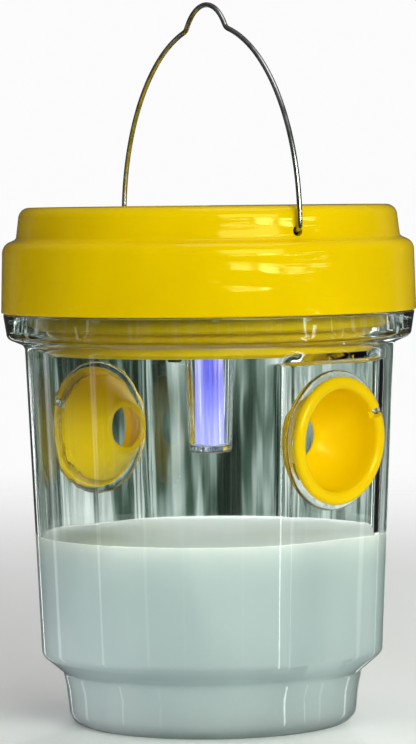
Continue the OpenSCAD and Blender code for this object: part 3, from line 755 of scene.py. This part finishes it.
# Cards near the part: angle round it from the camera's side in degrees, width, lowest and highest edge in
# millimetres, brightness. The tall ones stop below the level that the lid mirrors.
TALL_CARDS = [(-118, 34, -160, 95, 1.6), (-74, 16, -160, 95, 2.6), (-41, 16, -160, 95, 1.0),
              (-17, 12, -160, 95, 0.4), (19, 12, -160, 95, 0.4), (57, 20, -160, 90, 11), (75, 9, -160, 80, 3),
              (91, 20, -160, 80, 1.6), (126, 30, -160, 95, 3), (163, 14, -160, 95, 4),
              (-150, 14, -160, 95, 4)]
COLLAR_CARDS = [(52, 48, 100, 124, 5), (3, 30, 100, 122, 3), (-60, 40, 100, 120, 1.6)]
LID_CARDS = [(17, 90, 178, 200, 22), (31, 90, 184, 206, 36), (45, 90, 178, 200, 38), (58, 90, 186, 206, 24)]


def add_cards():
    """Glowing cards that only gloss and clear plastic show."""
    for at, width, low, high, strength in TALL_CARDS + COLLAR_CARDS + LID_CARDS:
        s = Shader("card")
        across, _, up = s.node("ShaderNodeSeparateXYZ", {0: s.coords}).outputs
        half = width / 2
        from_middle = s.math("ABSOLUTE", s.math("DIVIDE", across, half * MM))
        soft_side = s.math("SUBTRACT", 1, s.math("POWER", from_middle, 3))
        fade = {"Value": up, "From_Min": high * MM, "From_Max": high * MM - CARD_FADE}
        soft_top = s.node("ShaderNodeMapRange", fade, interpolation_type="SMOOTHSTEP").outputs[0]
        flicker = s.math("MULTIPLY", s.range(s.noise(30, 2), 0.5, 1.1), strength)
        level = s.math("MULTIPLY", s.math("MULTIPLY", soft_side, soft_top), flicker)
        light = s.node("ShaderNodeEmission", {"Color": (0.93, 1, 0.98, 1), "Strength": level}).outputs[0]
        s.tree.links.new(light, s.output.inputs["Surface"])
        verts = [(-half, 0, low), (half, 0, low), (half, 0, high), (-half, 0, high)]
        card = make("card", verts, [[0, 1, 2, 3]])
        turn = Matrix.Rotation(math.radians(at) + CAMERA_TURN, 4, "Z")
        card.matrix_world = turn @ Matrix.Translation((0, -CARD_DISTANCE, 0))
        card.visible_camera = card.visible_diffuse = card.visible_shadow = False
        card.data.materials.append(s.material)


class World(Shader):
    """The world's node tree, with the same helpers as a material's."""

    def __init__(self, name):
        self.material = bpy.data.worlds.new(name)
        self.material.use_nodes = True
        self.tree = self.material.node_tree
        self.tree.nodes.clear()
        self.coords = self.node("ShaderNodeTexCoord").outputs["Generated"]


# What glossy surfaces mirror: brightness at angles round the object, from 0 at the camera's side, in degrees
STUDIO = [(-180, 0.05), (-146, 0.05), (-138, 0.14), (-128, 0.05), (-100, 0.05), (-92, 0.16), (-80, 0.05),
          (-62, 0.04), (-52, 0.05), (-44, 0.04), (16, 0.04), (28, 0.12), (40, 0.04), (70, 0.04), (80, 0.12),
          (92, 0.04), (118, 0.05), (130, 0.16), (142, 0.05), (180, 0.05)]


def add_world():
    """Pale for the camera, even light for matt surfaces, and a studio of dark and bright panels for gloss."""
    s = World("studio")
    bpy.context.scene.world = s.material
    x, y, z = s.node("ShaderNodeSeparateXYZ", {0: s.coords}).outputs
    turns = s.math("DIVIDE", s.math("ARCTAN2", y, x), 2 * math.pi)
    camera_side = math.atan2(TOWARD.y, TOWARD.x) / (2 * math.pi)
    share = s.math("FRACT", s.math("ADD", turns, 1.5 - camera_side))
    panels = s.ramp(share, [((at + 180) / 360, value) for at, value in STUDIO])
    height = s.node("ShaderNodeMapRange", {"Value": z, "From_Min": 0.35, "From_Max": 0.75}).outputs[0]
    gloss = s.mix(height, panels, (0.16, 0.17, 0.18, 1))
    rays = s.node("ShaderNodeLightPath").outputs
    pale = s.node("ShaderNodeBackground", {"Color": (1, 1, 1, 1), "Strength": 0.97}).outputs[0]
    ambient = s.node("ShaderNodeBackground", {"Color": (1, 1, 1, 1), "Strength": 0.3}).outputs[0]
    studio = s.node("ShaderNodeBackground", {"Color": gloss, "Strength": 1.0}).outputs[0]
    soft = s.node("ShaderNodeMixShader", {0: rays["Is Diffuse Ray"], 1: studio, 2: ambient}).outputs[0]
    seen = s.node("ShaderNodeMixShader", {0: rays["Is Camera Ray"], 1: soft, 2: pale}).outputs[0]
    s.node("ShaderNodeOutputWorld", {"Surface": seen})


def add_surround():
    """A round wall that only shows through clear plastic: soft grey-green columns, lighter and darker."""
    circle = [(SURROUND_R * math.cos(a), SURROUND_R * math.sin(a)) for a in even_angles(STAGE_SIDES)]
    verts = [(x, y, z) for z in (SURROUND_LOW, SURROUND_HIGH) for x, y in circle]
    pairs = [(i, (i + 1) % STAGE_SIDES) for i in range(STAGE_SIDES)]
    wall = make("surround", verts, [[i, j, STAGE_SIDES + j, STAGE_SIDES + i] for i, j in pairs])
    wall.visible_camera = wall.visible_diffuse = wall.visible_glossy = wall.visible_shadow = False
    s = Shader("surround")
    columns = s.noise(36, 3, s.scaled(1, 1, 0.2), roughness=0.55)
    fine = s.noise(120, 2, s.scaled(1, 1, 0.05))
    both = s.math("ADD", s.math("MULTIPLY", columns, 0.75), s.math("MULTIPLY", fine, 0.25))
    tone = s.ramp(both, [(0.45, (0.008, 0.018, 0.01, 1)), (0.5, (0.065, 0.11, 0.08, 1)),
                         (0.545, (0.32, 0.42, 0.37, 1)), (0.61, (0.85, 0.95, 0.9, 1))])
    away = TOWARD / (-SURROUND_R * MM)
    facing = s.node("ShaderNodeVectorMath", {0: s.coords, 1: away}, operation="DOT_PRODUCT").outputs["Value"]
    dimmer = {"Value": facing, "From_Min": 0.2, "From_Max": 0.7, "To_Min": 0.55}
    strength = s.node("ShaderNodeMapRange", dimmer, interpolation_type="SMOOTHSTEP").outputs[0]
    light = s.node("ShaderNodeEmission", {"Color": tone, "Strength": strength}).outputs[0]
    s.tree.links.new(light, s.output.inputs["Surface"])
    wall.data.materials.append(s.material)


def add_floor():
    """Pale floor that fades into the backdrop, a hair below the part's base so that the two don't fight."""
    rim = [(FLOOR_R * math.cos(a), FLOOR_R * math.sin(a), FLOOR_Z) for a in even_angles(STAGE_SIDES)]
    faces = [[0, 1 + i, 1 + (i + 1) % STAGE_SIDES] for i in range(STAGE_SIDES)]
    floor = make("floor", [(0, 0, FLOOR_Z)] + rim, faces)
    s = Shader("floor", Base_Color=(0.95, 0.95, 0.95, 1), Roughness=0.7)
    distance = s.node("ShaderNodeVectorMath", {0: s.coords}, operation="LENGTH").outputs["Value"]
    fade = s.node("ShaderNodeMapRange", {"Value": distance, "From_Min": 0.35, "From_Max": 1.1},
                  interpolation_type="SMOOTHSTEP").outputs[0]
    clear = s.node("ShaderNodeBsdfTransparent").outputs[0]
    mixed = s.node("ShaderNodeMixShader", {0: fade, 1: s.bsdf.outputs[0], 2: clear}).outputs[0]
    s.tree.links.new(mixed, s.output.inputs["Surface"])
    floor.data.materials.append(s.material)
    floor.visible_glossy = floor.visible_transmission = False


# ------------------------------------------------------------------ assembly

def dress(obj, material, body, slot, *replaced):
    """Gives a new piece its material and the body it rides on, and hides the CAD nodes that it stands for."""
    obj.data.materials.clear()
    obj.data.materials.append(material)
    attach(obj, body)
    if replaced:
        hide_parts(*replaced)


def paint(material, *nodes):
    """Gives CAD nodes a material."""
    for name in nodes:
        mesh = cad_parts[name].data
        mesh.materials.clear()
        mesh.materials.append(material)


add_camera()
add_world()
add_lights()
add_cards()
add_surround()
add_floor()
bpy.context.scene.view_settings.view_transform = "Standard"

yellow = yellow_plastic("yellow_plastic", (60, 60, 130), 0.0004, (0.17, 0.27), 0.5)
lid_yellow = yellow_plastic("lid_yellow", (20, 20, 170), 0.0012, (0.05, 0.1), 0.3)
clear = clear_plastic()
dress(build_jar(), clear, "jar", "clear_plastic", "jar")
dress(build_liquid(), bait(), "jar", "bait", "bait_liquid")
for side in ("front", "back"):
    dress(build_funnel(side), yellow, "jar", "yellow_plastic", side + "_funnel")
dress(build_lid(), lid_yellow, "lid", "yellow_plastic", "lid_cover")
dress(tube("wire_bail", bail_path(), WIRE_R), bail_steel(), "bail", "bail_steel", "bail")
lamp_clear = clear_plastic("lamp_clear", (0.95, 0.96, 0.99, 1), 0.0002)
dress(build_lens(), lamp_clear, "lid", "clear_plastic", "lens_tube")
dress(build_guide(), glow(), "lid", "glowing_guide", "light_guide")
cover_plate = rounded_box("solar_cover_plate", *extent("solar_window"), 0.3)
dress(cover_plate, clear_plastic("solar_cover", waves=0.00001), "lid", "solar_cover", "solar_window")

paint(yellow, "inner_tray", "battery_door")
paint(solar_cells(), "solar_cell")
paint(circuit(), "led_board", "circuit_board")
paint(plain("silicone", srgb(214, 216, 208), 0.6), "seal_ring", "lens_seal")
paint(plain("screw_steel", srgb(176, 178, 180), 0.3, 1500, metallic=1.0),
      "tray_screws", "holder_screws", "board_screws", "door_screw")
paint(plain("contact_steel", srgb(196, 194, 186), 0.28, 2000, metallic=1.0),
      "battery_spring", "battery_contact", "switch_body")
paint(plain("foam", srgb(44, 44, 46), 0.9, 1400, 0.0002), "solar_pad")
paint(plain("red_insulation", srgb(190, 34, 24), 0.4), "solar_lead_red", "battery_lead_red")
paint(plain("black_insulation", srgb(34, 34, 36), 0.4), "solar_lead_black", "battery_lead_black")
paint(plain("white_insulation", srgb(226, 226, 220), 0.4), "led_leads")
paint(plain("white_holder", srgb(230, 230, 226), 0.45), "led_holder")
paint(plain("dark_parts", srgb(40, 40, 43), 0.45, 1200), "board_parts", "switch_knob")
paint(plain("cell_wrap", srgb(70, 152, 62), 0.3, 500), "battery")
paint(plain("lamp_resin", srgb(222, 218, 250), 0.15, 500), "uv_led")
